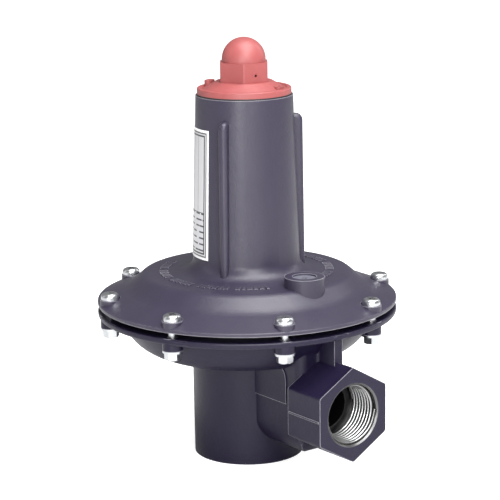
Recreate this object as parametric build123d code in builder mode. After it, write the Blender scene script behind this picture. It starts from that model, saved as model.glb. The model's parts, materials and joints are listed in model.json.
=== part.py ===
from build123d import *
from math import cos, radians, sqrt
import os

# Spring-loaded pressure reducing valve: bottom inlet, side outlet, diaphragm and tall spring tower.
# Millimetres. +Z runs up the spring tower, +X out of the outlet port, and the origin is the centre
# of the inlet mouth on the bottom face. A rise is measured up from the upper casing's lower face.

os.makedirs("parts", exist_ok=True)

# ---- threads and ports
port_thread_d = 33.249          # G1 major diameter, bored plain
vent_thread_d = 13.157          # G1/4 major diameter
inlet_thread_depth = 14.5
outlet_thread_depth = 21.5
port_axis_z = 42.0              # height of the outlet axis
port_reach = 92.7               # outlet face, from the main axis
port_passage_r = 12.0
mouth_chamfer = 0.8             # of the outlet

# ---- lower casing
base_r = 30.9                   # main cylinder at its foot
base_r_top = 31.3               # and where it meets the bowl
bowl_centre_r = 45.5            # the bowl is flat inside this radius and round outside it
bowl_r = 26.5
bowl_wall = 4.0
flange_r = 84.0
flange_thickness = 3.2
flange_z = 84.8                 # top face of the lower flange
edge_r = 1.0                    # cast edge rounding
hex_wall = 6.2                  # around the port thread
hex_length = 27.2
hex_corner_r = 2.0
hex_overlap = 1.0               # of the neck into the hexagon
neck_wall = 3.0
neck_floor_z = 12.7
neck_corner_r = 5.0
neck_toe_r = 14.0               # round toe under the port
cheek_proud = 0.7               # flat cheeks on both sides of the neck, above the parting line
cheek_setback = 12.0            # of their edge from the neck's front
cheek_rise = 22.0               # above the port axis
cheek_corner_r = 9.0
web_thickness = 5.5
web_depth = 14.0                # from the neck's front
web_root_r = 2.0
parting_width = 1.1             # raised parting line on the hexagon's sides
parting_proud = 0.3

# ---- upper casing
bead_thickness = 3.5            # diaphragm bead between the flanges
tower_rise = 116.0
spring_room = 3.7               # between the main spring and the tower's bore
tower_wall = 3.5
tower_flare = 3.2               # growth of the tower's radius from top to foot
shoulder_r = 57.9               # edge of the dome's upper platform
shoulder_rise = 16.3
platform_rise = 1.2             # from the shoulder to the foot of the tower
rim_height = 1.9
rim_round = 0.6
knee_r = 66.7                   # where the dome turns into the sloped bolting rim
knee_rise = 8.7
knee_round = 14.0
shoulder_round = 6.0
foot_round = 8.0
casing_wall = 3.6
rib_width = 5.0
rib_angles = (-60, 60, 180)
rib_foot_proud = 2.8
rib_top_proud = 5.3
rib_drop = 11.3                 # from the tower's top to the top of a rib
rib_top_round = 4.0
rib_edge_r = 2.2
vent_boss_r = 11.0
vent_offset = 52.0
vent_rise = 22.3
vent_depth = 7.0
vent_hole_r = 1.6
vent_plug_sink = 1.0
vent_plug_h = 1.4
vent_screen_h = 0.6

# ---- flange screws, M5 x 20, with conical washers
screw_count = 8
screw_edge = 5.7                # from the screw circle out to the flange's edge
screw_d = 5.0
screw_length = 20.0
screw_head_d = 10.0
screw_head_h = 3.7
screw_head_round = 2.2          # pan head's rounded shoulder
recess_span = 5.0
recess_width = 1.1
recess_depth = 1.8
shank_chamfer = 0.5
screw_hole_gap = 0.25
boss_r = 5.6
spotface_r = 5.8
upper_boss_rise = 5.4
lower_boss_drop = 7.2           # from the lower flange's top face
washer_d = 11.0
washer_thickness = 1.2
nut_af = 8.0
nut_h = 4.0

# ---- valve trim
inlet_chamber_r = 15.0
partition_z = 29.0              # underside of the wall that carries the orifice
partition_thickness = 3.0
outlet_chamber_r = 24.0
outlet_chamber_top = 54.0
passage_bite = 5.0              # of the passage into the chamber
orifice_r = 8.0
orifice_body_r = 11.8
orifice_flange_r = 14.0
orifice_flange_h = 2.0
orifice_lip_r = 9.4
orifice_lip_flat = 0.8
orifice_lip_h = 1.5
ring_height = 1.0               # height of the flat seal rings
ring_inset = 0.4
stroke = 5.0                    # travel from rest to closed
disc_r = 11.5
holder_rim = 1.0
pad_thickness = 2.2
holder_thickness = 3.0
pad_washer_h = 0.8
pad_washer_margin = 1.6
disc_nut_af = 7.0
disc_nut_h = 1.6
stem_r = 4.0
tail_r = 2.0                    # stem where it carries the closing disc
tail_end = 0.4                  # of the stem below the disc nut
running_clearance = 0.05
bush_wall = 3.0
bush_flange_r = 10.0
bush_flange_h = 1.6
impulse_r = 2.5
impulse_bore_r = 1.5
impulse_offset = 17.0
impulse_low = 3.0               # below the chamber's roof
impulse_high = 2.0              # above the bowl's floor

# ---- diaphragm group
centre_drop = 4.0               # diaphragm centre below the flange gap at rest
sheet = 1.6                     # diaphragm sheet and plate thickness
arch_centre_r = 60.0
arch_r = 7.0
bead_gap = 2.55                 # between the bead and the screw holes
plate_r = 50.0
plate_rim_h = 4.0
rivet_count = 6
rivet_circle_r = 38.0
rivet_r = 2.0
rivet_head_r = 3.6
rivet_head_h = 1.2
relief_seat_r = 10.0
relief_seat_edge = 1.5          # of the seat's foot beyond its lip
relief_seat_h = 5.0
relief_seat_floor = 2.5
relief_hole_gap = 1.5           # around the stem, for the relief flow
plate_hole_gap = 3.0            # between the relief seat and the lower plate
relief_spring_mean_r = 8.5
relief_wire = 1.6
relief_spring_length = 14.0
relief_turns = 5
retainer_r = 11.0
retainer_h = 1.8
stem_nut_af = 13.0
stem_nut_h = 6.0
stem_end = 1.5                  # of the stem above its nut
stem_chamfer = 0.6

# ---- spring and adjuster
spring_mean_r = 18.0
spring_wire = 3.6
spring_turns = 8
spring_locator_gap = 1.8        # between the spring and the locating ring on the upper plate
spring_locator_w = 1.4
spring_locator_h = 2.5
spring_seat_drop = 28.3         # underside of the upper spring seat, below the tower's top
spring_seat_gap = 2.0           # between the seat and the tower's bore
spring_seat_h = 4.0
spring_pilot_h = 4.0
spring_pilot_chamfer = 2.0
spring_side_gap = 0.6
adjuster_r = 6.0
adjuster_point_r = 4.0
adjuster_sink = 1.0             # into the spring seat
adjuster_above_nose = 4.0
adjuster_slot = 1.6
cap_thread_length = 15.0
thread_clearance = 0.1
gasket_thickness = 0.75
gasket_inset = 0.8

# ---- caps
cap_overhang = 0.9              # of the tower's top beyond the cap's disc
cap_disc_h = 3.35
cap_edge_r = 0.7
cap_rim = 2.2
cap_recess = 0.9
cap_seat_rise = 3.3             # of the cone that carries the dome cap, above the disc
cap_plug_wall = 3.0
cap_guide_wall = 6.0            # around the adjusting screw
cap_guide_depth = 8.0
cap_nose_r = 9.0
cap_nose_h = 6.5
lug_width = 7.5
lug_depth = 4.2
lug_inset = 4.8                 # of the lugs' centres from the disc's edge
lugs = ((27, 1.2), (-153, 2.8))  # angle, and height above the disc
dome_wall = 3.0
dome_hex_wall = 3.9
dome_turn = 23.0                # a corner of the hexagon stands here, from +X
dome_hex_h = 10.6
dome_hex_corner_r = 1.0
dome_neck_h = 1.4
dome_roof = 1.0                 # top of the plain bore above the hexagon
dome_seal_width = 1.9
dome_seal_h = 1.2
seal_hole_r = 0.8
seal_hole_rise = 4.0            # above the dome cap's foot

# ---- rating plate
plate_angle = -120.0
plate_half_angle = 38.0
plate_low = 10.4                # above the shoulder
plate_drop = 17.3               # below the tower's top
plate_foil = 0.3

# ---- worked-out sizes
port_r = port_thread_d / 2
vent_r = vent_thread_d / 2
hex_af = port_thread_d + 2 * hex_wall
gap_mid_z = flange_z + bead_thickness / 2
cover_z = flange_z + bead_thickness
rim_low_z = flange_z - flange_thickness
neck_end_x = port_reach - hex_length
neck_front_x = neck_end_x + hex_overlap
neck_half_width = port_passage_r + neck_wall
web_reach = neck_front_x + web_depth
screw_circle_r = flange_r - screw_edge
screw_r = screw_d / 2
screw_hole_r = screw_r + screw_hole_gap
bead_outer_r = screw_circle_r - screw_hole_r - bead_gap
upper_boss_z = cover_z + upper_boss_rise
lower_boss_z = flange_z - lower_boss_drop
washer_z = lower_boss_z - washer_thickness
bowl_floor_z = gap_mid_z - bowl_r
dish_floor_z = bowl_floor_z + bowl_wall
hollow_r = bowl_r - bowl_wall
hollow_lip_r = bowl_centre_r + sqrt(hollow_r**2 - (bead_thickness / 2) ** 2)
shoulder_z = cover_z + shoulder_rise
foot_z = shoulder_z + platform_rise
tower_top_z = cover_z + tower_rise
tower_bore_r = spring_mean_r + spring_wire / 2 + spring_room
tower_top_r = tower_bore_r + tower_wall
tower_foot_r = tower_top_r + tower_flare
tower_thread_z = tower_top_z - cap_thread_length
vent_top_z = cover_z + vent_rise
chamber_floor_z = partition_z + partition_thickness
lip_z = partition_z - orifice_lip_h
pad_top_z = lip_z - stroke
pad_low_z = pad_top_z - pad_thickness
holder_low_z = pad_low_z - holder_thickness
sheet_low_z = gap_mid_z - centre_drop - sheet / 2
sheet_top_z = sheet_low_z + sheet
upper_plate_top = sheet_top_z + sheet
lower_plate_z = sheet_low_z - sheet
retainer_z = upper_plate_top + relief_spring_length
bush_r = stem_r + bush_wall
spring_seat_z = tower_top_z - spring_seat_drop
seat_top_z = spring_seat_z + spring_seat_h
gasket_top_z = tower_top_z + gasket_thickness
cap_top_z = gasket_top_z + cap_disc_h
cap_floor_z = cap_top_z - cap_recess
cap_seat_z = cap_top_z + cap_seat_rise
cap_nose_z = cap_seat_z + cap_nose_h
cap_disc_r = tower_top_r - cap_overhang
lug_r = cap_disc_r - lug_inset
cap_plug_r = tower_bore_r - thread_clearance
adjuster_top_z = cap_nose_z + adjuster_above_nose
dome_bore_r = cap_nose_r + thread_clearance
dome_r = dome_bore_r + dome_wall
dome_af = 2 * (dome_bore_r + dome_hex_wall)
dome_hex_top = cap_seat_z + dome_hex_h
dome_seal_r = dome_bore_r + dome_seal_width


def tower_r(z):
    # outer radius of the tapered tower at a height
    return tower_foot_r + (tower_top_r - tower_foot_r) * (z - shoulder_z) / (tower_top_z - shoulder_z)


def ring(r_in, r_out, z_low, z_high):
    # a plain ring or disc about the main axis
    with BuildPart() as made:
        with BuildSketch(Plane.XY.offset(z_low)):
            Circle(r_out)
            if r_in > 0:
                Circle(r_in, mode=Mode.SUBTRACT)
        extrude(amount=z_high - z_low)
    return made.part


def coil(mean_r, wire, z_low, z_high, turns):
    # a compression spring with flat ground ends
    height = z_high - z_low
    with BuildPart() as made:
        with BuildLine(Plane.XY.offset(z_low)) as path:
            Helix(pitch=height / turns, height=height, radius=mean_r)
        start = path.line
        with BuildSketch(Plane(origin=start @ 0, z_dir=start % 0)):
            Circle(wire / 2)
        sweep(path=start, is_frenet=True)
        with BuildSketch(Plane.XY.offset(z_low)):
            Circle(mean_r + wire)
        extrude(amount=height, mode=Mode.INTERSECT)
    return made.part


def finish(part, name):
    # label a piece and write its file
    part.label = name
    export_step(part, f"parts/{name}.step")
    print(f"{name:24s} {part.volume / 1000:9.3f} cm3")


# ---- neck: upright block with round corners, a round floor and a round toe
with BuildPart() as neck:
    with BuildSketch(Plane.XY) as plan:
        with Locations((neck_front_x / 2, 0)):
            Rectangle(neck_front_x, 2 * neck_half_width)
        fillet(plan.vertices().group_by(Axis.X)[-1], neck_corner_r)
    extrude(amount=rim_low_z + edge_r)
    with BuildSketch(Plane.YZ):
        with Locations((0, neck_floor_z + neck_half_width)):
            Circle(neck_half_width)
        with Locations((0, neck_floor_z + neck_half_width + flange_z / 2)):
            Rectangle(2 * neck_half_width, flange_z)
    extrude(amount=neck_front_x, mode=Mode.INTERSECT)
    with BuildSketch(Plane.XZ.offset(-neck_half_width)) as side:
        with Locations((neck_front_x / 2, neck_floor_z + flange_z / 2)):
            Rectangle(neck_front_x, flange_z)
        fillet(side.vertices().sort_by_distance((neck_front_x, neck_floor_z, 0))[0], neck_toe_r)
    extrude(amount=2 * neck_half_width, mode=Mode.INTERSECT)

# web from the port up to the flange, with a rounded root on the neck
web_pad = 2 * web_root_r
with BuildPart() as web:
    with BuildSketch(Plane.XY.offset(port_axis_z)) as plan:
        with Locations(((neck_front_x - web_pad + web_reach) / 2, 0)):
            Rectangle(web_reach - neck_front_x + web_pad, web_thickness)
        with Locations((neck_front_x - web_pad / 2, 0)):
            Rectangle(web_pad, web_thickness + 2 * web_pad)
        roots = plan.vertices().filter_by(
            lambda v: abs(v.X - neck_front_x) < edge_r / 2 and abs(v.Y) < web_thickness / 2 + edge_r / 2
        )
        fillet(roots, web_root_r)
    extrude(amount=rim_low_z + edge_r - port_axis_z)

# ---- valve body: foot, bowl, flange, neck and hexagon port in one casting
with BuildPart() as valve_body:
    with BuildSketch(Plane.XZ) as outline:
        bowl_side = bowl_r * cos(radians(45))
        rim_meet_r = bowl_centre_r + sqrt(bowl_r**2 - (gap_mid_z - rim_low_z) ** 2)
        with BuildLine():
            Polyline((0, 0), (base_r, 0), (base_r_top, bowl_floor_z), (bowl_centre_r, bowl_floor_z))
            ThreePointArc(
                (bowl_centre_r, bowl_floor_z),
                (bowl_centre_r + bowl_side, gap_mid_z - bowl_side),
                (rim_meet_r, rim_low_z),
            )
            Polyline(
                (rim_meet_r, rim_low_z),
                (flange_r, rim_low_z),
                (flange_r, flange_z),
                (0, flange_z),
                (0, 0),
            )
        make_face()
        fillet(outline.vertices().group_by(Axis.X)[-1], edge_r)
    revolve(axis=Axis.Z)

    # neck, its flat cheeks above the parting line, and the web
    add(neck.part)
    with BuildSketch(Plane.XZ.offset(-neck_half_width - cheek_proud)) as cheek:
        with Locations(((neck_front_x - cheek_setback) / 2, port_axis_z + cheek_rise / 2)):
            Rectangle(neck_front_x - cheek_setback, cheek_rise)
        cheek_top = (neck_front_x - cheek_setback, port_axis_z + cheek_rise, 0)
        fillet(cheek.vertices().sort_by_distance(cheek_top)[0], cheek_corner_r)
    extrude(amount=2 * (neck_half_width + cheek_proud))
    add(web.part)

    # hexagon port with a corner up, and its raised parting line
    with BuildSketch(Plane.YZ.offset(neck_end_x)):
        with Locations((0, port_axis_z)):
            RegularPolygon(radius=hex_af / 2, side_count=6, major_radius=False, rotation=90)
    extrude(amount=hex_length)
    corners = valve_body.edges().filter_by(Axis.X).filter_by(
        lambda e: e.center().X > neck_end_x and e.length > hex_length / 2
    )
    fillet(corners, hex_corner_r)
    with BuildSketch(Plane.XZ.offset(-hex_af / 2 - parting_proud)):
        with Locations((neck_end_x + hex_length / 2, port_axis_z)):
            Rectangle(hex_length - 2 * edge_r, parting_width)
    extrude(amount=hex_af + 2 * parting_proud)

    # bosses for the nuts
    with BuildSketch(Plane.XY.offset(lower_boss_z)):
        with PolarLocations(screw_circle_r, screw_count, start_angle=180 / screw_count):
            Circle(boss_r)
    extrude(amount=lower_boss_drop)

    # hollow bowl and chambers
    with BuildSketch(Plane.XZ):
        hollow_side = hollow_r * cos(radians(45))
        with BuildLine():
            Polyline((0, flange_z), (0, dish_floor_z), (bowl_centre_r, dish_floor_z))
            ThreePointArc(
                (bowl_centre_r, dish_floor_z),
                (bowl_centre_r + hollow_side, gap_mid_z - hollow_side),
                (hollow_lip_r, flange_z),
            )
            Line((hollow_lip_r, flange_z), (0, flange_z))
        make_face()
    revolve(axis=Axis.Z, mode=Mode.SUBTRACT)
    for radius, z_low, z_high in (
        (port_r, 0, inlet_thread_depth),
        (inlet_chamber_r, 0, partition_z),
        (orifice_body_r, partition_z, chamber_floor_z),
        (outlet_chamber_r, chamber_floor_z, outlet_chamber_top),
        (bush_r, outlet_chamber_top, dish_floor_z),
    ):
        with Locations((0, 0, (z_low + z_high) / 2)):
            Cylinder(radius, z_high - z_low, mode=Mode.SUBTRACT)
    with Locations((0, impulse_offset, (outlet_chamber_top + dish_floor_z) / 2)):
        Cylinder(impulse_r, dish_floor_z - outlet_chamber_top, mode=Mode.SUBTRACT)

    # passage, tapped outlet and screw holes
    with BuildSketch(Plane.YZ.offset(outlet_chamber_r - passage_bite)):
        with Locations((0, port_axis_z)):
            Circle(port_passage_r)
    extrude(amount=port_reach, mode=Mode.SUBTRACT)
    with BuildSketch(Plane.YZ.offset(port_reach)):
        with Locations((0, port_axis_z)):
            Circle(port_r)
    extrude(amount=-outlet_thread_depth, mode=Mode.SUBTRACT)
    with BuildSketch(Plane.XY):
        with PolarLocations(screw_circle_r, screw_count, start_angle=180 / screw_count):
            Circle(screw_hole_r)
    extrude(amount=flange_z, mode=Mode.SUBTRACT)
    rims = valve_body.edges().filter_by(GeomType.CIRCLE).filter_by(lambda e: abs(e.radius - port_r) < 0.01)
    chamfer(rims.sort_by(Axis.X)[-1], mouth_chamfer)
finish(valve_body.part, "valve_body")

# ---- upper casing: sloped rim, domed platform and ribbed tower
tower_inner_foot = tower_foot_r - casing_wall
rib_root_r = tower_inner_foot + casing_wall / 6
rib_low_z = shoulder_z - platform_rise
rib_top_z = tower_top_z - rib_drop
rib_top_r = tower_top_r + rib_top_proud

# one half-round rib, leaning with the tower
with BuildPart() as rib:
    with BuildSketch(Plane.XZ.offset(-rib_width / 2)) as side:
        with BuildLine():
            Polyline(
                (rib_root_r, rib_low_z),
                (tower_foot_r + rib_foot_proud, rib_low_z),
                (rib_top_r, rib_top_z),
                (rib_root_r, rib_top_z),
                (rib_root_r, rib_low_z),
            )
        make_face()
        fillet(side.vertices().sort_by_distance((rib_top_r, rib_top_z, 0))[0], rib_top_round)
    extrude(amount=rib_width)
    outer_edges = rib.edges().filter_by(
        lambda e: e.center().X > tower_foot_r and e.length > 2 * rib_top_round
    )
    fillet(outer_edges, rib_edge_r)

with BuildPart() as upper_casing:
    with BuildSketch(Plane.XZ) as outline:
        corners = (
            (flange_r, cover_z + rim_height, rim_round),
            (knee_r, cover_z + knee_rise, knee_round),
            (shoulder_r, shoulder_z, shoulder_round),
            (tower_r(foot_z), foot_z, foot_round),
        )
        with BuildLine():
            Polyline(
                (0, cover_z),
                (flange_r, cover_z),
                *[(r, z) for r, z, _ in corners],
                (tower_top_r, tower_top_z),
                (0, tower_top_z),
                (0, cover_z),
            )
        make_face()
        for r, z, radius in corners:
            fillet(outline.vertices().sort_by_distance((r, z, 0))[0], radius)
    revolve(axis=Axis.Z)
    for angle in rib_angles:
        add(rib.part, rotation=(0, 0, angle))

    # screw bosses on the sloped rim and the vent boss on the dome
    with BuildSketch(Plane.XY.offset(cover_z)):
        with PolarLocations(screw_circle_r, screw_count, start_angle=180 / screw_count):
            Circle(boss_r)
    extrude(amount=upper_boss_rise)
    with BuildSketch(Plane.XY.offset(cover_z)):
        with Locations((vent_offset, 0)):
            Circle(vent_boss_r)
    extrude(amount=vent_rise)

    # hollow, tower thread, spotfaces, vent and screw holes
    with BuildSketch(Plane.XZ):
        with BuildLine():
            Polyline(
                (0, cover_z),
                (hollow_lip_r, cover_z),
                (knee_r - casing_wall * 0.7, cover_z + knee_rise - casing_wall * 0.9),
                (shoulder_r - casing_wall * 0.5, shoulder_z - casing_wall),
                (tower_inner_foot, foot_z - casing_wall),
                (tower_r(tower_thread_z) - casing_wall, tower_thread_z),
                (tower_bore_r, tower_thread_z),
                (tower_bore_r, tower_top_z),
                (0, tower_top_z),
                (0, cover_z),
            )
        make_face()
    revolve(axis=Axis.Z, mode=Mode.SUBTRACT)
    with BuildSketch(Plane.XY.offset(upper_boss_z)):
        with PolarLocations(screw_circle_r, screw_count, start_angle=180 / screw_count):
            Circle(spotface_r)
    extrude(amount=screw_head_h, mode=Mode.SUBTRACT)
    with BuildSketch(Plane.XY.offset(cover_z)):
        with PolarLocations(screw_circle_r, screw_count, start_angle=180 / screw_count):
            Circle(screw_hole_r)
    extrude(amount=upper_boss_rise, mode=Mode.SUBTRACT)
    with Locations((vent_offset, 0, vent_top_z - vent_depth / 2)):
        Cylinder(vent_r, vent_depth, mode=Mode.SUBTRACT)
    with Locations((vent_offset, 0, vent_top_z - vent_rise / 2)):
        Cylinder(vent_hole_r, vent_rise, mode=Mode.SUBTRACT)
finish(upper_casing.part, "upper_casing")

# ---- flange screws, washers and nuts
head_top_z = upper_boss_z + screw_head_h
with BuildPart() as screw:
    with BuildSketch(Plane.XY.offset(upper_boss_z)):
        Circle(screw_head_d / 2)
    extrude(amount=screw_head_h)
    fillet(screw.edges().sort_by(Axis.Z)[-1], screw_head_round)
    with BuildSketch(Plane.XY.offset(head_top_z)):
        Rectangle(recess_span, recess_width)
        Rectangle(recess_width, recess_span)
    extrude(amount=-recess_depth, mode=Mode.SUBTRACT)
    with BuildSketch(Plane.XY.offset(upper_boss_z)):
        Circle(screw_r)
    extrude(amount=-screw_length)
    chamfer(screw.edges().sort_by(Axis.Z)[0], shank_chamfer)
with BuildPart() as nut:
    with BuildSketch(Plane.XY.offset(washer_z)):
        RegularPolygon(radius=nut_af / 2, side_count=6, major_radius=False)
        Circle(screw_r, mode=Mode.SUBTRACT)
    extrude(amount=-nut_h)
    with BuildSketch(Plane.XZ):
        corner = nut_af / sqrt(3)
        bevel = corner - nut_af / 2
        with BuildLine():
            Polyline(
                (0, washer_z - nut_h),
                (nut_af / 2, washer_z - nut_h),
                (corner, washer_z - nut_h + bevel),
                (corner, washer_z),
                (0, washer_z),
                (0, washer_z - nut_h),
            )
        make_face()
    revolve(axis=Axis.Z, mode=Mode.INTERSECT)
washer = ring(screw_r, washer_d / 2, washer_z, lower_boss_z)


def around_flange(piece):
    # one copy of a fastener at every screw hole
    step = 360 / screw_count
    spots = [Rot(0, 0, step * (i + 0.5)) * Pos(screw_circle_r, 0, 0) * piece for i in range(screw_count)]
    return Compound(children=spots)


finish(around_flange(screw.part), "flange_screws")
finish(around_flange(washer), "flange_washers")
finish(around_flange(nut.part), "flange_nuts")

# ---- vent: snap-in plug with a fine hole, and its screen
plug_low_z = vent_top_z - vent_plug_sink - vent_plug_h
with BuildPart() as vent_plug:
    with BuildSketch(Plane.XY.offset(plug_low_z)):
        with Locations((vent_offset, 0)):
            Circle(vent_r)
            Circle(vent_hole_r, mode=Mode.SUBTRACT)
    extrude(amount=vent_plug_h)
finish(vent_plug.part, "vent_plug")
with BuildPart() as vent_screen:
    with BuildSketch(Plane.XY.offset(plug_low_z)):
        with Locations((vent_offset, 0)):
            Circle(vent_r)
    extrude(amount=-vent_screen_h)
finish(vent_screen.part, "vent_screen")

# ---- orifice with its seal
flange_low_z = chamber_floor_z + ring_height
with BuildPart() as orifice:
    with BuildSketch(Plane.XZ):
        with BuildLine():
            Polyline(
                (orifice_r, lip_z),
                (orifice_r + orifice_lip_flat, lip_z),
                (orifice_lip_r, partition_z),
                (orifice_body_r, partition_z),
                (orifice_body_r, flange_low_z),
                (orifice_flange_r, flange_low_z),
                (orifice_flange_r, flange_low_z + orifice_flange_h),
                (orifice_r + orifice_flange_h / 2, flange_low_z + orifice_flange_h),
                (orifice_r, flange_low_z + orifice_flange_h / 2),
                (orifice_r, lip_z),
            )
        make_face()
    revolve(axis=Axis.Z)
finish(orifice.part, "seat_orifice")
finish(ring(orifice_body_r, orifice_flange_r - ring_inset, chamber_floor_z, flange_low_z), "orifice_seal")

# ---- stem with the relief seat on top of it
relief_low_z = sheet_low_z - relief_seat_h
relief_floor_z = relief_low_z + relief_seat_floor
seat_foot_r = relief_seat_r + relief_seat_edge
washer_top_z = pad_top_z + pad_washer_h
nut_low_z = holder_low_z - disc_nut_h
stem_top_z = retainer_z + retainer_h + stem_nut_h + stem_end
with BuildPart() as stem:
    with BuildSketch(Plane.XZ):
        with BuildLine():
            Polyline(
                (0, nut_low_z - tail_end),
                (tail_r, nut_low_z - tail_end),
                (tail_r, washer_top_z),
                (stem_r, washer_top_z),
                (stem_r, relief_low_z),
                (seat_foot_r, relief_low_z),
                (seat_foot_r, relief_floor_z),
                (relief_seat_r, sheet_low_z),
                (relief_seat_r - 1, sheet_low_z),
                (relief_seat_r - 2, relief_floor_z),
                (stem_r, relief_floor_z),
                (stem_r, stem_top_z - stem_chamfer),
                (stem_r - stem_chamfer, stem_top_z),
                (0, stem_top_z),
                (0, nut_low_z - tail_end),
            )
        make_face()
    revolve(axis=Axis.Z)
finish(stem.part, "stem")

# ---- closing disc below the orifice: pad, holder, washer and nut
pad_r = disc_r - holder_rim
finish(ring(tail_r, pad_r, pad_low_z, pad_top_z), "valve_pad")
with BuildPart() as disc_holder:
    with BuildSketch(Plane.XZ):
        rim_z = pad_top_z - pad_thickness / 2
        with BuildLine():
            Polyline(
                (tail_r, holder_low_z),
                (pad_r, holder_low_z),
                (disc_r, holder_low_z + holder_rim),
                (disc_r, rim_z),
                (pad_r, rim_z),
                (pad_r, pad_low_z),
                (tail_r, pad_low_z),
                (tail_r, holder_low_z),
            )
        make_face()
    revolve(axis=Axis.Z)
finish(disc_holder.part, "disc_holder")
finish(ring(tail_r, stem_r + pad_washer_margin, pad_top_z, washer_top_z), "pad_washer")
with BuildPart() as disc_nut:
    with BuildSketch(Plane.XY.offset(nut_low_z)):
        RegularPolygon(radius=disc_nut_af / 2, side_count=6, major_radius=False)
        Circle(tail_r, mode=Mode.SUBTRACT)
    extrude(amount=disc_nut_h)
finish(disc_nut.part, "disc_nut")

# ---- guide bush and impulse tube in the wall between the chambers
bush_bore_r = stem_r + running_clearance
with BuildPart() as bush:
    with BuildSketch(Plane.XZ):
        with BuildLine():
            Polyline(
                (bush_bore_r, outlet_chamber_top),
                (bush_r, outlet_chamber_top),
                (bush_r, dish_floor_z),
                (bush_flange_r, dish_floor_z),
                (bush_flange_r, dish_floor_z + bush_flange_h),
                (bush_bore_r, dish_floor_z + bush_flange_h),
                (bush_bore_r, outlet_chamber_top),
            )
        make_face()
    revolve(axis=Axis.Z)
finish(bush.part, "guide_bush")
with BuildPart() as impulse_tube:
    with BuildSketch(Plane.XY.offset(outlet_chamber_top - impulse_low)):
        with Locations((0, impulse_offset)):
            Circle(impulse_r)
            Circle(impulse_bore_r, mode=Mode.SUBTRACT)
    extrude(amount=impulse_low + dish_floor_z - outlet_chamber_top + impulse_high)
finish(impulse_tube.part, "impulse_tube")

# ---- diaphragm with its rolling arch and clamped bead
arch_in = arch_r - sheet
centre_hole_r = stem_r + relief_hole_gap
inner_leg_r = arch_centre_r - arch_r
outer_leg_r = arch_centre_r + arch_r
with BuildPart() as diaphragm:
    with BuildSketch(Plane.XZ):
        with BuildLine():
            Polyline(
                (centre_hole_r, sheet_low_z),
                (inner_leg_r + sheet, sheet_low_z),
                (inner_leg_r + sheet, gap_mid_z),
            )
            ThreePointArc(
                (inner_leg_r + sheet, gap_mid_z),
                (arch_centre_r, gap_mid_z + arch_in),
                (outer_leg_r - sheet, gap_mid_z),
            )
            Polyline(
                (outer_leg_r - sheet, gap_mid_z),
                (hollow_lip_r, gap_mid_z - sheet / 2),
                (hollow_lip_r, flange_z),
                (bead_outer_r, flange_z),
                (bead_outer_r, cover_z),
                (hollow_lip_r, cover_z),
                (hollow_lip_r, gap_mid_z + sheet / 2),
                (outer_leg_r, gap_mid_z + sheet / 2),
                (outer_leg_r, gap_mid_z),
            )
            ThreePointArc(
                (outer_leg_r, gap_mid_z),
                (arch_centre_r, gap_mid_z + arch_r),
                (inner_leg_r, gap_mid_z),
            )
            Polyline(
                (inner_leg_r, gap_mid_z),
                (inner_leg_r, sheet_top_z),
                (centre_hole_r, sheet_top_z),
                (centre_hole_r, sheet_low_z),
            )
        make_face()
    revolve(axis=Axis.Z)
    with BuildSketch(Plane.XY.offset(sheet_low_z)):
        with PolarLocations(rivet_circle_r, rivet_count):
            Circle(rivet_r)
    extrude(amount=sheet, mode=Mode.SUBTRACT)
finish(diaphragm.part, "diaphragm")

# ---- diaphragm plates: the upper one has a turned-up rim and a ring that centres the spring
locator_r = spring_mean_r + spring_wire / 2 + spring_locator_gap
with BuildPart() as upper_plate:
    with BuildSketch(Plane.XZ):
        with BuildLine():
            Polyline(
                (centre_hole_r, sheet_top_z),
                (plate_r, sheet_top_z),
                (plate_r + sheet, sheet_top_z + plate_rim_h),
                (plate_r, sheet_top_z + plate_rim_h),
                (plate_r - sheet, upper_plate_top),
                (locator_r + spring_locator_w, upper_plate_top),
                (locator_r + spring_locator_w, upper_plate_top + spring_locator_h),
                (locator_r, upper_plate_top + spring_locator_h),
                (locator_r, upper_plate_top),
                (centre_hole_r, upper_plate_top),
                (centre_hole_r, sheet_top_z),
            )
        make_face()
    revolve(axis=Axis.Z)
    with BuildSketch(Plane.XY.offset(sheet_top_z)):
        with PolarLocations(rivet_circle_r, rivet_count):
            Circle(rivet_r)
    extrude(amount=sheet, mode=Mode.SUBTRACT)
finish(upper_plate.part, "upper_plate")

with BuildPart() as lower_plate:
    with BuildSketch(Plane.XY.offset(lower_plate_z)):
        Circle(plate_r)
        Circle(relief_seat_r + plate_hole_gap, mode=Mode.SUBTRACT)
        with PolarLocations(rivet_circle_r, rivet_count):
            Circle(rivet_r, mode=Mode.SUBTRACT)
    extrude(amount=sheet)
finish(lower_plate.part, "lower_plate")

with BuildPart() as rivets:
    with BuildSketch(Plane.XY.offset(lower_plate_z)):
        with PolarLocations(rivet_circle_r, rivet_count):
            Circle(rivet_r)
    extrude(amount=3 * sheet)
    for level, lift in ((lower_plate_z, -rivet_head_h), (upper_plate_top, rivet_head_h)):
        with BuildSketch(Plane.XY.offset(level)):
            with PolarLocations(rivet_circle_r, rivet_count):
                Circle(rivet_head_r)
        extrude(amount=lift)
finish(rivets.part, "plate_rivets")

# ---- relief spring above the plates, its retainer and nut
relief_spring = coil(relief_spring_mean_r, relief_wire, upper_plate_top, retainer_z, relief_turns)
finish(relief_spring, "relief_spring")
finish(ring(stem_r, retainer_r, retainer_z, retainer_z + retainer_h), "relief_retainer")
with BuildPart() as stem_nut:
    with BuildSketch(Plane.XY.offset(retainer_z + retainer_h)):
        RegularPolygon(radius=stem_nut_af / 2, side_count=6, major_radius=False)
        Circle(stem_r, mode=Mode.SUBTRACT)
    extrude(amount=stem_nut_h)
finish(stem_nut.part, "stem_nut")

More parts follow.
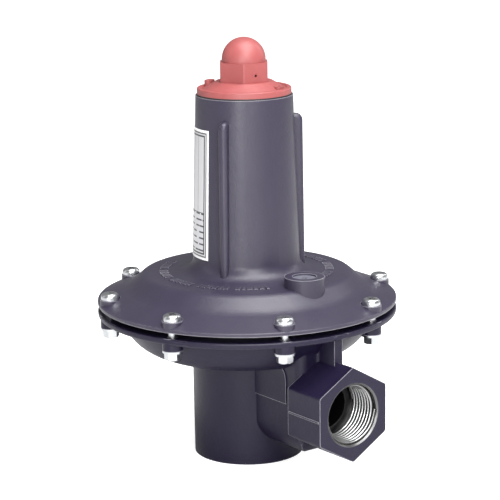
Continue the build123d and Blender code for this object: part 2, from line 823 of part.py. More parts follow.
# ---- main spring, its upper seat and the adjusting screw
main_spring = coil(spring_mean_r, spring_wire, upper_plate_top, spring_seat_z, spring_turns)
finish(main_spring, "main_spring")
pilot_r = spring_mean_r - spring_wire / 2 - spring_side_gap
pilot_low_z = spring_seat_z - spring_pilot_h
dimple_z = seat_top_z - adjuster_sink
with BuildPart() as spring_seat:
    with BuildSketch(Plane.XZ):
        with BuildLine():
            Polyline(
                (0, pilot_low_z),
                (pilot_r - spring_pilot_chamfer, pilot_low_z),
                (pilot_r, pilot_low_z + spring_pilot_chamfer),
                (pilot_r, spring_seat_z),
                (tower_bore_r - spring_seat_gap, spring_seat_z),
                (tower_bore_r - spring_seat_gap, seat_top_z),
                (adjuster_r + adjuster_point_r / 2, seat_top_z),
                (adjuster_r + adjuster_point_r / 2, dimple_z),
                (0, dimple_z),
                (0, pilot_low_z),
            )
        make_face()
    revolve(axis=Axis.Z)
finish(spring_seat.part, "spring_seat")
with BuildPart() as adjuster:
    with BuildSketch(Plane.XZ):
        point_h = adjuster_r - adjuster_point_r
        with BuildLine():
            Polyline(
                (0, dimple_z),
                (adjuster_point_r, dimple_z),
                (adjuster_r, dimple_z + point_h),
                (adjuster_r, adjuster_top_z - 1),
                (adjuster_r - 1, adjuster_top_z),
                (0, adjuster_top_z),
                (0, dimple_z),
            )
        make_face()
    revolve(axis=Axis.Z)
    with BuildSketch(Plane.XY.offset(adjuster_top_z)):
        Rectangle(2 * adjuster_r, adjuster_slot)
    extrude(amount=-2 * adjuster_slot, mode=Mode.SUBTRACT)
finish(adjuster.part, "adjusting_screw")

# ---- tower cap: plug in the tower, disc with a cone and nose for the dome cap, seal lugs
finish(ring(cap_plug_r, tower_top_r - gasket_inset, tower_top_z, gasket_top_z), "cap_gasket")
dome_corner_r = dome_af / sqrt(3)
guide_r = adjuster_r + thread_clearance
guide_low_z = tower_top_z - cap_guide_depth
web_low_z = gasket_top_z - cap_plug_wall
with BuildPart() as tower_cap:
    with BuildSketch(Plane.XZ) as outline:
        with BuildLine():
            Polyline(
                (guide_r, guide_low_z),
                (guide_r + cap_guide_wall, guide_low_z),
                (guide_r + cap_guide_wall, web_low_z),
                (cap_plug_r - cap_plug_wall, web_low_z),
                (cap_plug_r - cap_plug_wall, tower_thread_z + cap_edge_r),
                (cap_plug_r, tower_thread_z + cap_edge_r),
                (cap_plug_r, gasket_top_z),
                (cap_disc_r, gasket_top_z),
                (cap_disc_r, cap_top_z),
                (cap_disc_r - cap_rim, cap_top_z),
                (cap_disc_r - cap_rim - cap_recess, cap_floor_z),
                (dome_corner_r + cap_recess, cap_seat_z),
                (cap_nose_r, cap_seat_z),
                (cap_nose_r, cap_nose_z),
                (guide_r, cap_nose_z),
                (guide_r, guide_low_z),
            )
        make_face()
        fillet(outline.vertices().sort_by_distance((cap_disc_r, cap_top_z, 0))[0], cap_edge_r)
    revolve(axis=Axis.Z)
    for angle, rise in lugs:
        with BuildSketch(Plane.XY.offset(cap_floor_z)):
            with Locations(Rot(0, 0, angle) * Pos(lug_r, 0, 0)):
                SlotOverall(lug_width, lug_depth, rotation=90)
        extrude(amount=cap_recess + rise)
    with BuildSketch(Plane.XY.offset(cap_seat_z)):
        with Locations(Rot(0, 0, lugs[0][0]) * Pos(lug_r, 0, 0)):
            Circle(seal_hole_r)
    extrude(amount=gasket_top_z - cap_seat_z, mode=Mode.SUBTRACT)
finish(tower_cap.part, "tower_cap")

# ---- dome cap and its seal
with BuildPart() as dome_cap:
    with BuildSketch(Plane.XY.offset(cap_seat_z)):
        RegularPolygon(radius=dome_af / 2, side_count=6, major_radius=False, rotation=dome_turn)
    extrude(amount=dome_hex_h)
    fillet(dome_cap.edges().filter_by(Axis.Z), dome_hex_corner_r)
    with BuildSketch(Plane.XY.offset(dome_hex_top)):
        Circle(dome_r)
    extrude(amount=dome_neck_h)
    with Locations((0, 0, dome_hex_top + dome_neck_h)):
        Sphere(dome_r, arc_size1=0, align=(Align.CENTER, Align.CENTER, Align.MIN))
    with BuildSketch(Plane.XY.offset(cap_seat_z)):
        Circle(dome_bore_r)
    extrude(amount=dome_hex_h + dome_roof, mode=Mode.SUBTRACT)
    with Locations((0, 0, dome_hex_top + dome_roof)):
        Sphere(dome_bore_r, mode=Mode.SUBTRACT)
    with BuildSketch(Plane.XY.offset(cap_seat_z)):
        Circle(dome_seal_r)
    extrude(amount=dome_seal_h, mode=Mode.SUBTRACT)
    with BuildSketch(Plane.YZ.rotated((0, 0, dome_turn - 30))):
        with Locations((0, cap_seat_z + seal_hole_rise)):
            Circle(seal_hole_r)
    extrude(amount=dome_af, mode=Mode.SUBTRACT)
finish(dome_cap.part, "dome_cap")
finish(ring(dome_bore_r, dome_seal_r, cap_seat_z, cap_seat_z + dome_seal_h), "dome_cap_seal")

# ---- rating plate: foil bent round the tower
plate_low_z = shoulder_z + plate_low
plate_high_z = tower_top_z - plate_drop
with BuildPart() as rating_plate:
    with BuildSketch(Plane.XZ.rotated((0, 0, plate_angle - plate_half_angle))):
        low_r, high_r = tower_r(plate_low_z), tower_r(plate_high_z)
        with BuildLine():
            Polyline(
                (low_r, plate_low_z),
                (low_r + plate_foil, plate_low_z),
                (high_r + plate_foil, plate_high_z),
                (high_r, plate_high_z),
                (low_r, plate_low_z),
            )
        make_face()
    revolve(axis=Axis.Z, revolution_arc=2 * plate_half_angle)
finish(rating_plate.part, "rating_plate")
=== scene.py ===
import json
from math import cos, radians, sin, tau

import bmesh
import bpy
from mathutils import Matrix, Vector


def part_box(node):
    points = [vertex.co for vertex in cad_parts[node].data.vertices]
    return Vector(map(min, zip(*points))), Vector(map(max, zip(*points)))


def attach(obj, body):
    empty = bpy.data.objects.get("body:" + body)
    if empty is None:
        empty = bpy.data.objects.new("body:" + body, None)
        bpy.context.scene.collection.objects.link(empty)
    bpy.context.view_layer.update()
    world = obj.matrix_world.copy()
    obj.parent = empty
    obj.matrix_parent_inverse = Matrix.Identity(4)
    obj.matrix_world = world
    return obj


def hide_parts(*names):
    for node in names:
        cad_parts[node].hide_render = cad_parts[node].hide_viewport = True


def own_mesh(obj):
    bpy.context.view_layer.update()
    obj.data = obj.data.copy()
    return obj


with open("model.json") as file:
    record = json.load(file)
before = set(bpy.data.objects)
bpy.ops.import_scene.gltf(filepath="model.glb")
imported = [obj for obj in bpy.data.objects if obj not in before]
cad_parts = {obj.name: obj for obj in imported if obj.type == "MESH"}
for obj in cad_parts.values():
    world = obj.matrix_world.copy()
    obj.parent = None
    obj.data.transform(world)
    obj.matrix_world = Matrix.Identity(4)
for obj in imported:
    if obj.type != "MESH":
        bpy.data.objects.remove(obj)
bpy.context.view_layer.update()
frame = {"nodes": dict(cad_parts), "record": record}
mountAt = {m["name"]: m for m in frame["record"]["mounts"]}
print("frame loaded:", len(frame["nodes"]), "nodes")

# camera: a long lens, a little above the flange
view = {
    "azimuth": 53.0,        # degrees round the valve, 0 looks along +Y
    "elevation": 12.9,
    "distance": 1.0907,
    "lens": 140.0,
    "roll": -0.79,
    "aside": 0.00203,       # aim point, right of the main axis
    "aimHeight": 0.11607,
    "reach": 50.0,
}
turn, tilt, roll = (radians(view[k]) for k in ("azimuth", "elevation", "roll"))
towards = Vector((sin(turn) * cos(tilt), -cos(turn) * cos(tilt), sin(tilt)))
right = Vector((cos(turn), sin(turn), 0))
up = towards.cross(right)
aim = right * view["aside"] + Vector((0, 0, view["aimHeight"]))
camera = bpy.data.objects.new("camera", bpy.data.cameras.new("camera"))
camera.data.lens = view["lens"]
camera.data.clip_end = view["reach"]
axes = Matrix((
    right * cos(roll) + up * sin(roll),
    up * cos(roll) - right * sin(roll),
    towards,
)).transposed()
camera.matrix_world = Matrix.Translation(aim + towards * view["distance"]) @ axes.to_4x4()
bpy.context.scene.collection.objects.link(camera)
bpy.context.scene.camera = camera
print("camera set")

# soft studio light over a white floor
studio = {
    "floorSize": 12.0,
    "floorColor": (0.72, 0.72, 0.72),
    "floorRough": 0.9,
    "floorGlow": 0.75,      # seen by the camera, lighting nothing
    "worldColor": (1.0, 1.0, 1.0),
    "fill": 0.30,           # soft light from all round
    "horizon": 1.0,         # what the camera sees behind the valve
    # name: azimuth, elevation, distance, width, height, watts
    "lamps": {
        "keyBox": (69, 30, 1.5, 0.7, 1.1, 22),
        "fillBox": (-40, 22, 1.8, 0.25, 1.4, 3),
        "topBox": (95, 72, 1.7, 1.5, 1.5, 62),
        "rimBox": (175, 30, 1.8, 0.3, 1.4, 6),
        "bandBox": (41, 7, 1.5, 0.22, 0.4, 8),
    },
}
bpy.context.scene.view_settings.view_transform = "Standard"    # keeps the white floor white
world = bpy.data.worlds.new("studio")
world.use_nodes = True
sky = world.node_tree.nodes["Background"]
sky.inputs["Color"].default_value = (*studio["worldColor"], 1)
level = world.node_tree.nodes.new("ShaderNodeMapRange")    # seen white, yet lighting gently
ray = world.node_tree.nodes.new("ShaderNodeLightPath")
world.node_tree.links.new(ray.outputs["Is Camera Ray"], level.inputs["Value"])
level.inputs["To Min"].default_value = studio["fill"]
level.inputs["To Max"].default_value = studio["horizon"]
world.node_tree.links.new(level.outputs["Result"], sky.inputs["Strength"])
bpy.context.scene.world = world
for name, (azimuth, elevation, away, wide, high, watts) in studio["lamps"].items():
    lamp = bpy.data.objects.new(name, bpy.data.lights.new(name, "AREA"))
    lamp.data.shape = "RECTANGLE"
    lamp.data.size, lamp.data.size_y, lamp.data.energy = wide, high, watts
    a, e = radians(azimuth), radians(elevation)
    out = Vector((sin(a) * cos(e), -cos(a) * cos(e), sin(e)))
    facing = out.to_track_quat("Z", "Y").to_matrix().to_4x4()
    lamp.matrix_world = Matrix.Translation(aim + out * away) @ facing
    bpy.context.scene.collection.objects.link(lamp)
print("lights set:", len(studio["lamps"]), "lamps")


# node helpers
def newMaterial(name):
    material = bpy.data.materials.new(name)
    material.use_nodes = True
    return material, material.node_tree, material.node_tree.nodes["Principled BSDF"]


def feed(tree, value, socket):
    if isinstance(value, bpy.types.NodeSocket):
        tree.links.new(value, socket)
    else:
        socket.default_value = value


def calc(tree, operation, first, second=0.0, clamp=False):
    node = tree.nodes.new("ShaderNodeMath")
    node.operation, node.use_clamp = operation, clamp
    feed(tree, first, node.inputs[0])
    feed(tree, second, node.inputs[1])
    return node.outputs[0]


def flip(tree, value):
    return calc(tree, "SUBTRACT", 1.0, value)


def spreadFrom(tree, low, spread, value):    # low where value is 0, low + spread where it is 1
    return calc(tree, "ADD", calc(tree, "MULTIPLY", value, spread), low)


def step(tree, value, edge, width):    # 0 below edge, 1 above it, soft over width
    node = tree.nodes.new("ShaderNodeMapRange")
    feed(tree, value, node.inputs["Value"])
    node.inputs["From Min"].default_value = edge - width / 2
    node.inputs["From Max"].default_value = edge + width / 2
    return node.outputs["Result"]


def position(tree):
    where = tree.nodes.new("ShaderNodeTexCoord").outputs["Object"]
    parts = tree.nodes.new("ShaderNodeSeparateXYZ")
    tree.links.new(where, parts.inputs[0])
    return where, parts.outputs["X"], parts.outputs["Y"], parts.outputs["Z"]


def radius(tree, a, b):
    squares = calc(tree, "MULTIPLY", a, a), calc(tree, "MULTIPLY", b, b)
    return calc(tree, "SQRT", calc(tree, "ADD", *squares))


def grain(tree, where, scale, detail=2.0):
    node = tree.nodes.new("ShaderNodeTexNoise")
    tree.links.new(where, node.inputs["Vector"])
    node.inputs["Scale"].default_value = scale
    node.inputs["Detail"].default_value = detail
    return node.outputs["Fac"]


def blendColor(tree, amount, a, b):
    node = tree.nodes.new("ShaderNodeMix")
    node.data_type = "RGBA"
    feed(tree, amount, node.inputs["Factor"])
    feed(tree, a if isinstance(a, bpy.types.NodeSocket) else (*a, 1), node.inputs["A"])
    feed(tree, b if isinstance(b, bpy.types.NodeSocket) else (*b, 1), node.inputs["B"])
    return node.outputs["Result"]


def blendValue(tree, amount, a, b):
    node = tree.nodes.new("ShaderNodeMix")
    feed(tree, amount, node.inputs["Factor"])
    feed(tree, a, node.inputs["A"])
    feed(tree, b, node.inputs["B"])
    return node.outputs["Result"]


def bump(tree, height, distance, strength):
    node = tree.nodes.new("ShaderNodeBump")
    feed(tree, height, node.inputs["Height"])
    node.inputs["Distance"].default_value = distance
    node.inputs["Strength"].default_value = strength
    return node.outputs["Normal"]


# stoved enamel on the castings, bare metal where the ports are turned
enamel = {
    # the body's shades sit well below the bonnet's: painted shade for the lower casting under the
    # flange
    "body": ((0.006, 0.004, 0.017), (0.010, 0.007, 0.023)),    # the two shades it drifts between
    "bonnet": ((0.020, 0.016, 0.034), (0.030, 0.025, 0.044)),
    "gloss": {"body": 0.28, "bonnet": 0.5},
    "driftScale": 45.0,
    "rough": 0.40,
    "roughSpread": 0.10,
    "roughScale": 70.0,
    "peelScale": 900.0,
    "peelShare": 0.5,
    "castScale": 230.0,
    "peelHeight": 0.00030,
    "peelStrength": 0.35,
    # the edge colour is partly paint worn thin and partly a painted highlight along the convex edges
    "edge": (0.40, 0.39, 0.43),    # where the paint has drawn back from an edge
    "edgeWidth": 0.0005,
    "edgeFloor": 0.08,             # keeps the facets of round walls out of it
    "edgeGain": 2.4,
    "edgeLeast": 0.3,              # how broken the worn line is
    "edgeSpread": 0.6,
    "edgeScale": 160.0,
    "edgeSamples": 8,
    "bare": (0.13, 0.13, 0.13),
    "bareRough": 0.34,
}


# lightens convex edges: worn paint together with a painted highlight
def edgeWearAndHighlight(tree, gain):    # 1 along convex edges, 0 on open faces and in corners
    inward = tree.nodes.new("ShaderNodeAmbientOcclusion")
    inward.samples = enamel["edgeSamples"]
    inward.inside = True
    inward.only_local = True
    inward.inputs["Distance"].default_value = enamel["edgeWidth"]
    near = calc(tree, "SUBTRACT", flip(tree, inward.outputs["AO"]), enamel["edgeFloor"])
    return calc(tree, "MULTIPLY", near, gain, clamp=True)


def enamelMaterial(name, shades, bareZones=(), wearAndHighlight=1.0):
    material, tree, shader = newMaterial(name)
    where, x, y, z = position(tree)
    bare = 0.0
    for zone in bareZones:
        bare = calc(tree, "MAXIMUM", bare, zone(tree, x, y, z))
    paint = blendColor(tree, grain(tree, where, enamel["driftScale"], 3.0), *enamel[shades])
    thin = spreadFrom(tree, enamel["edgeLeast"], enamel["edgeSpread"],
                      grain(tree, where, enamel["edgeScale"]))
    # convex edges take the light edge colour, part wear and part painted highlight
    wornAndHighlit = calc(tree, "MULTIPLY", edgeWearAndHighlight(tree, enamel["edgeGain"] * wearAndHighlight), thin)
    paint = blendColor(tree, wornAndHighlit, paint, enamel["edge"])
    feed(tree, blendColor(tree, bare, paint, enamel["bare"]), shader.inputs["Base Color"])
    feed(tree, bare, shader.inputs["Metallic"])
    gloss = spreadFrom(tree, enamel["rough"] - enamel["roughSpread"] / 2, enamel["roughSpread"],
                       grain(tree, where, enamel["roughScale"]))
    feed(tree, blendValue(tree, bare, gloss, enamel["bareRough"]), shader.inputs["Roughness"])
    shader.inputs["Specular IOR Level"].default_value = enamel["gloss"][shades]
    peel = calc(tree, "MULTIPLY", grain(tree, where, enamel["peelScale"], 1.0), enamel["peelShare"])
    skin = calc(tree, "ADD", peel, grain(tree, where, enamel["castScale"]))
    feed(tree, bump(tree, skin, enamel["peelHeight"], enamel["peelStrength"]),
         shader.inputs["Normal"])
    return material


# how far the turned metal reaches into each port
port = {
    "beyond": 0.00092,          # past the bore, to take in its mouth
    "outletDepth": 0.0222,
    "passageRadius": 0.0122,
    "passageDepth": 0.075,
    "inletDepth": 0.03,
    "soft": 0.0002,
}
outlet, inlet = mountAt["outlet_thread"], mountAt["inlet_thread"]
boreRadius = outlet["dims"]["r_mm"] / 1000
outletHeight = outlet["pos_m"][2]
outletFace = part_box("valve_body")[1][0]


def within(tree, value, limit):
    return flip(tree, step(tree, value, limit, port["soft"]))


def outletZone(tree, x, y, z):
    near = radius(tree, y, calc(tree, "SUBTRACT", z, outletHeight))
    shallow = step(tree, x, outletFace - port["outletDepth"], port["soft"])
    bore = calc(tree, "MULTIPLY", within(tree, near, boreRadius + port["beyond"]), shallow)
    deep = step(tree, x, outletFace - port["passageDepth"], port["soft"])
    passage = calc(tree, "MULTIPLY", within(tree, near, port["passageRadius"]), deep)
    return calc(tree, "MAXIMUM", bore, passage)


def inletZone(tree, x, y, z):
    inside = within(tree, radius(tree, x, y), boreRadius + port["beyond"])
    return calc(tree, "MULTIPLY", inside, within(tree, z, port["inletDepth"]))


# slight cloudiness, uneven gloss and a fine relief
plainFinish = {
    "cloudScale": 0.3,       # scales, as shares of the relief's own
    "unevenScale": 0.5,
    "roughSpread": 0.1,
    "strength": 0.5,
}


def plainMaterial(name, color, second, metallic, rough, scale, height):
    material, tree, shader = newMaterial(name)
    where = position(tree)[0]
    cloud = grain(tree, where, scale * plainFinish["cloudScale"], 3.0)
    feed(tree, blendColor(tree, cloud, color, second), shader.inputs["Base Color"])
    shader.inputs["Metallic"].default_value = metallic
    spread = plainFinish["roughSpread"]
    uneven = grain(tree, where, scale * plainFinish["unevenScale"])
    feed(tree, spreadFrom(tree, rough - spread / 2, spread, uneven), shader.inputs["Roughness"])
    relief = grain(tree, where, scale, 3.0)
    feed(tree, bump(tree, relief, height, plainFinish["strength"]), shader.inputs["Normal"])
    return material


# silver foil with a white edge, a double frame, ruled columns, and rows of plain bars for print
label = {
    "foil": (0.62, 0.62, 0.64),
    "paper": (0.86, 0.86, 0.86),
    "ink": (0.035, 0.035, 0.04),
    "angle": radians(-120),
    "halfAngle": radians(38),
    "radius": 0.0287,
    "edge": 0.0011,
    "frameLines": ((0.0015, 0.0021), (0.0029, 0.0038)),    # how far in each line starts and stops
    "columns": 5,
    "columnFoot": 0.36,      # share of the height below the columns
    "line": 0.00028,
    "dividerLines": 1.4,     # the line under the columns, in widths of the others
    "rowPitch": 0.0034,
    "barShares": (0.35, 0.62),    # bottom and top of a bar, as shares of the pitch
    "barScale": 260.0,       # how often a row breaks
    "barGaps": 0.47,         # lower leaves fewer gaps
    "soft": 0.00008,
    "softEdge": 0.0001,
    "metallic": 0.55,
    "rough": 0.32,
    "roughSpread": 0.12,
    "roughScale": 300.0,
    "crinkleScale": 220.0,
    "crinkleHeight": 0.00004,
    "crinkleStrength": 0.4,
}


def band(tree, value, low, high):
    below = flip(tree, step(tree, value, high, label["soft"]))
    return calc(tree, "MULTIPLY", step(tree, value, low, label["soft"]), below)


def labelBars(tree, across, rise):    # each row breaks into bars of uneven length
    row = calc(tree, "MODULO", rise, label["rowPitch"])
    bars = band(tree, row, *(share * label["rowPitch"] for share in label["barShares"]))
    place = tree.nodes.new("ShaderNodeCombineXYZ")
    feed(tree, calc(tree, "MULTIPLY", across, label["barScale"]), place.inputs["X"])
    feed(tree, calc(tree, "FLOOR", calc(tree, "DIVIDE", rise, label["rowPitch"])), place.inputs["Y"])
    breaks = grain(tree, place.outputs[0], 1.0)
    return calc(tree, "MULTIPLY", bars, calc(tree, "GREATER_THAN", breaks, label["barGaps"]))


def labelMaterial(name):
    material, tree, shader = newMaterial(name)
    where, x, y, z = position(tree)
    low, high = (corner[2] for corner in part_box("rating_plate"))
    halfWide, halfHigh = label["halfAngle"] * label["radius"], (high - low) / 2
    angle = calc(tree, "SUBTRACT", calc(tree, "ARCTAN2", y, x), label["angle"])
    across = calc(tree, "MULTIPLY", angle, label["radius"])
    rise = calc(tree, "SUBTRACT", z, low)
    fromSide = calc(tree, "SUBTRACT", halfWide, calc(tree, "ABSOLUTE", across))
    fromMiddle = calc(tree, "ABSOLUTE", calc(tree, "SUBTRACT", rise, halfHigh))
    inward = calc(tree, "MINIMUM", fromSide, calc(tree, "SUBTRACT", halfHigh, fromMiddle))

    # frame
    ink = 0.0
    for start, stop in label["frameLines"]:
        ink = calc(tree, "MAXIMUM", ink, band(tree, inward, start, stop))
    inner = step(tree, inward, label["frameLines"][-1][1], label["softEdge"])

    # columns above, rows of bars below
    split = label["columnFoot"] * (high - low)
    ruled = step(tree, rise, split, label["softEdge"])
    pitch = 2 * halfWide / (label["columns"] + 1)
    offset = calc(tree, "MODULO", calc(tree, "ADD", across, halfWide), pitch)
    offset = calc(tree, "ABSOLUTE", calc(tree, "SUBTRACT", offset, pitch / 2))
    column = calc(tree, "LESS_THAN", offset, label["line"] / 2)
    divider = band(tree, rise, split, split + label["line"] * label["dividerLines"])
    bars = calc(tree, "MULTIPLY", labelBars(tree, across, rise), flip(tree, ruled))
    marks = calc(tree, "MAXIMUM", divider, bars)
    marks = calc(tree, "MAXIMUM", calc(tree, "MULTIPLY", column, ruled), marks)
    ink = calc(tree, "MAXIMUM", ink, calc(tree, "MULTIPLY", marks, inner))

    white = flip(tree, step(tree, inward, label["edge"], label["softEdge"]))
    face = blendColor(tree, white, label["foil"], label["paper"])
    feed(tree, blendColor(tree, ink, face, label["ink"]), shader.inputs["Base Color"])
    bareFoil = flip(tree, calc(tree, "MAXIMUM", ink, white))
    feed(tree, calc(tree, "MULTIPLY", bareFoil, label["metallic"]), shader.inputs["Metallic"])
    gloss = grain(tree, where, label["roughScale"])
    feed(tree, spreadFrom(tree, label["rough"], label["roughSpread"], gloss),
         shader.inputs["Roughness"])
    crinkle = grain(tree, where, label["crinkleScale"])
    feed(tree, bump(tree, crinkle, label["crinkleHeight"], label["crinkleStrength"]),
         shader.inputs["Normal"])
    return material


# finish: material, colour, second colour, metallic, rough, scale and height of the relief
plainFinishes = {
    "zinc": ("zincPlate", (0.62, 0.63, 0.64), (0.44, 0.46, 0.48), 1.0, 0.30, 900, 0.00003),
    "red": ("redNylon", (0.29, 0.068, 0.067), (0.25, 0.056, 0.055), 0.0, 0.46, 700, 0.00004),
    "rubber": ("blackNitrile", (0.012, 0.012, 0.014), (0.02, 0.02, 0.02), 0.0, 0.6, 800, 0.00004),
    "spring": ("springWire", (0.30, 0.31, 0.34), (0.22, 0.23, 0.25), 1.0, 0.38, 900, 0.00003),
    "brass": ("turnedBrass", (0.72, 0.50, 0.20), (0.62, 0.41, 0.15), 1.0, 0.28, 800, 0.00002),
    "sheet": ("galvanisedSheet", (0.50, 0.50, 0.47), (0.40, 0.41, 0.39), 1.0, 0.42, 300, 0.00003),
    "turned": ("turnedAluminium", (0.66, 0.66, 0.65), (0.54, 0.54, 0.54), 1.0, 0.28, 800, 0.00002),
    "ventGrey": ("greyNylon", (0.12, 0.12, 0.15), (0.09, 0.09, 0.12), 0.0, 0.5, 700, 0.00004),
}
materials = {finish: plainMaterial(*values) for finish, values in plainFinishes.items()}
materials |= {
    "body": enamelMaterial("enamelBody", "body", (outletZone, inletZone)),
    "bonnet": enamelMaterial("enamelBonnet", "bonnet"),
    "marks": enamelMaterial("enamelMarks", "bonnet", wearAndHighlight=0.5),
    "foil": labelMaterial("printedFoil"),
}
finishOf = {
    "valve_body": "body", "upper_casing": "bonnet",
    "flange_screws": "zinc", "flange_washers": "zinc", "flange_nuts": "zinc",
    "relief_retainer": "zinc", "stem_nut": "zinc", "adjusting_screw": "zinc",
    "vent_plug": "ventGrey", "vent_screen": "sheet",
    "seat_orifice": "brass", "disc_holder": "brass", "pad_washer": "brass", "disc_nut": "brass",
    "guide_bush": "brass", "impulse_tube": "brass",
    "orifice_seal": "rubber", "valve_pad": "rubber", "diaphragm": "rubber", "cap_gasket": "rubber",
    "dome_cap_seal": "rubber",
    "stem": "turned", "plate_rivets": "turned", "spring_seat": "turned",
    "upper_plate": "sheet", "lower_plate": "sheet",
    "relief_spring": "spring", "main_spring": "spring",
    "tower_cap": "red", "dome_cap": "red",
    "rating_plate": "foil",
}
for name, piece in frame["nodes"].items():
    for slot in piece.material_slots:
        slot.material = materials[finishOf[name]]
    if not piece.material_slots:
        piece.data.materials.append(materials[finishOf[name]])
print("materials on", len(frame["nodes"]), "nodes")


weld = 0.000001    # vertices closer than this are one


def addPiece(name, bm, material, body):
    bmesh.ops.remove_doubles(bm, verts=bm.verts, dist=weld)
    bmesh.ops.recalc_face_normals(bm, faces=bm.faces)
    mesh = bpy.data.meshes.new(name)
    bm.to_mesh(mesh)
    bm.free()
    mesh.shade_smooth()
    mesh.materials.append(material)
    piece = bpy.data.objects.new(name, mesh)
    bpy.context.scene.collection.objects.link(piece)
    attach(piece, body)
    return piece


# pipe threads: one ridge wound up each port, with a painted highlight along the crest and painted
# shade down in the root
thread = {
    "pitch": 0.0254 / 11,
    "height": 0.00148,
    "crest": 0.13,           # half widths, as shares of the pitch
    "foot": 0.47,
    "sunk": 0.00025,         # into the wall
    "start": 0.0016,         # from the face
    "outletTurns": 8.0,
    "inletTurns": 5.2,
    "steps": 56,             # to the turn
    "leadIn": 0.7,           # turns over which the ridge rises
    "lift": 0.00001,         # keeps the ridge's ends off the wall's own face
    # crest colour is a painted highlight, root colour is painted shade
    "crestHighlightColor": (0.42, 0.42, 0.42),
    "rootShadeColor": (0.06, 0.06, 0.06),
    "fade": 0.0006,
    "rough": 0.28,
    "roughSpread": 0.12,
    "roughScale": 400.0,
    "markScale": 900.0,      # tool marks
    "markHeight": 0.00003,
    "markStrength": 0.4,
}


def threadMaterial(name, aside):    # aside measures off the port's axis, square to Y
    material, tree, shader = newMaterial(name)
    where, x, y, z = position(tree)
    away = radius(tree, y, aside(tree, x, z))
    # darken the root as painted shade, keep the crest light as a painted highlight
    low = step(tree, away, boreRadius - thread["height"] + thread["fade"], thread["fade"])
    crestLitRootShaded = blendColor(tree, low, thread["crestHighlightColor"], thread["rootShadeColor"])
    feed(tree, crestLitRootShaded, shader.inputs["Base Color"])
    shader.inputs["Metallic"].default_value = 1.0
    gloss = grain(tree, where, thread["roughScale"])
    feed(tree, spreadFrom(tree, thread["rough"], thread["roughSpread"], gloss),
         shader.inputs["Roughness"])
    marks = grain(tree, where, thread["markScale"])
    feed(tree, bump(tree, marks, thread["markHeight"], thread["markStrength"]),
         shader.inputs["Normal"])
    return material


def threadPiece(name, material, face, inward, turns):
    inward = Vector(inward)
    side = Vector((0, 1, 0))
    wall = boreRadius + thread["sunk"]
    crest = boreRadius - thread["height"]
    bm = bmesh.new()
    profile = (
        (wall, -thread["foot"]),
        (crest, -thread["crest"]),
        (crest, thread["crest"]),
        (wall, thread["foot"]),
    )
    ring = [bm.verts.new(face + inward * (thread["start"] + share * thread["pitch"]) + side * r)
            for r, share in profile]
    section = bm.faces.new(ring)
    steps = round(turns * thread["steps"])
    bmesh.ops.spin(bm, geom=[section, *section.verts, *section.edges], cent=face, axis=inward,
                   dvec=inward * thread["pitch"] / thread["steps"], angle=tau * turns, steps=steps)
    for vert in bm.verts:    # the ridge's ends run out into the wall
        away = vert.co - face
        depth = away.dot(inward)
        arm = away - inward * depth
        done = (depth - thread["start"]) / thread["pitch"]
        rise = min(1.0, max(0.0, min(done + 0.5, turns + 0.5 - done)) / thread["leadIn"])
        if arm.length < boreRadius:
            out = boreRadius - thread["height"] * rise + thread["lift"]
            vert.co = face + inward * depth + arm.normalized() * out
    return addPiece(name, bm, material, "casing")


outletCut = threadMaterial("outletCut", lambda tree, x, z: calc(tree, "SUBTRACT", z, outletHeight))
inletCut = threadMaterial("inletCut", lambda tree, x, z: x)
outletMouth = Vector((outletFace, 0, outletHeight))
threadPiece("outletThread", outletCut, outletMouth, (-1, 0, 0), thread["outletTurns"])
threadPiece("inletThread", inletCut, Vector(inlet["pos_m"]), (0, 0, 1), thread["inletTurns"])
print("threads wound")


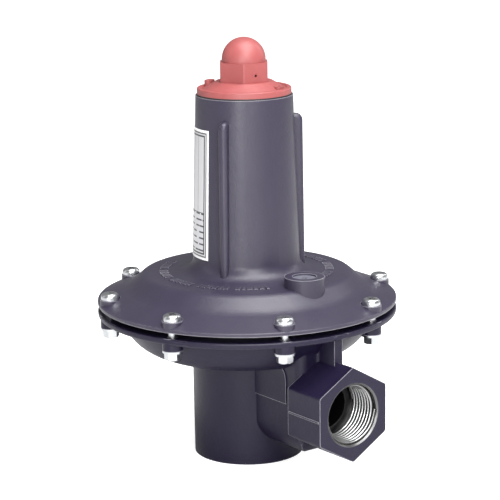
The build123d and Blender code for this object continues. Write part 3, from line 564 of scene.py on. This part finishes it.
# plain raised marks round the dome, where the casting carries its lettering
castMarks = {
    "ring": 0.0465,
    "arcs": ((-152, -18), (22, 152)),    # degrees, clear of the vent boss
    "pitch": 3.9,
    "widths": (0.0022, 0.0013, 0.0026, 0.0017),
    "length": 0.0048,
    "height": 0.0011,
    "proud": 0.0006,                     # the rest is sunk in the casting
    "round": 0.00025,
    "group": 7,                          # one place in each group is left empty
    "above": 0.15,                       # where the search for the casting's skin starts
}
bonnet = frame["nodes"]["upper_casing"]
sink = Matrix.Translation((0, 0, castMarks["proud"] - castMarks["height"] / 2))
bm = bmesh.new()
for first, last in castMarks["arcs"]:
    for i in range(int((last - first) / castMarks["pitch"])):
        if i % castMarks["group"] == castMarks["group"] - 1:
            continue
        angle = radians(first + i * castMarks["pitch"])
        spot = Vector((cos(angle), sin(angle), 0)) * castMarks["ring"]
        place = bonnet.ray_cast(spot + Vector((0, 0, castMarks["above"])), Vector((0, 0, -1)))[1]
        bar = bmesh.ops.create_cube(bm, size=1.0)["verts"]
        wide = castMarks["widths"][i % len(castMarks["widths"])]
        bmesh.ops.scale(bm, vec=(castMarks["length"], wide, castMarks["height"]), verts=bar)
        edges = list({e for v in bar for e in v.link_edges if all(w.co.z > 0 for w in e.verts)})
        bevelled = bmesh.ops.bevel(bm, geom=edges, offset=castMarks["round"], offset_type="OFFSET",
                                   segments=2, profile=0.5, affect="EDGES", material=-1)
        shell = list({v for v in bar if v.is_valid} | set(bevelled["verts"]))
        turned = Matrix.Rotation(angle, 4, "Z")
        bmesh.ops.transform(bm, matrix=Matrix.Translation(place) @ turned @ sink, verts=shell)
addPiece("castMarks", bm, materials["marks"], "casing").data.shade_flat()
print("casting marks set")


# springs: each spring's mesh copied into a piece of its own, which takes the part's place
soft = {
    # piece: node, body, joint, still end, share kept at the joint's limit
    "mainSpringCoil": ("main_spring", "casing", "stem_travel", "top", 0.945),
    "reliefSpringCoil": ("relief_spring", "stem_group", "relief_lift", "top", 0.857),
}
for name, (node, body, joint, still, keep) in soft.items():
    bm = bmesh.new()
    bm.from_mesh(frame["nodes"][node].data)
    low, high = (corner[2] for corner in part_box(node))
    piece = addPiece(name, bm, materials["spring"], body)
    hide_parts(node)
    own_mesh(piece)


# floor
floorMesh = bpy.data.meshes.new("floor")
bm = bmesh.new()
bmesh.ops.create_grid(bm, x_segments=1, y_segments=1, size=studio["floorSize"] / 2)
bm.to_mesh(floorMesh)
bm.free()
floor = bpy.data.objects.new("floor", floorMesh)
bpy.context.scene.collection.objects.link(floor)
floorMaterial, tree, shader = newMaterial("paleFloor")
shader.inputs["Base Color"].default_value = (*studio["floorColor"], 1)
shader.inputs["Roughness"].default_value = studio["floorRough"]
shader.inputs["Emission Color"].default_value = (*studio["worldColor"], 1)
seen = tree.nodes.new("ShaderNodeLightPath").outputs["Is Camera Ray"]
feed(tree, calc(tree, "MULTIPLY", seen, studio["floorGlow"]), shader.inputs["Emission Strength"])
floorMesh.materials.append(floorMaterial)
print("floor laid")
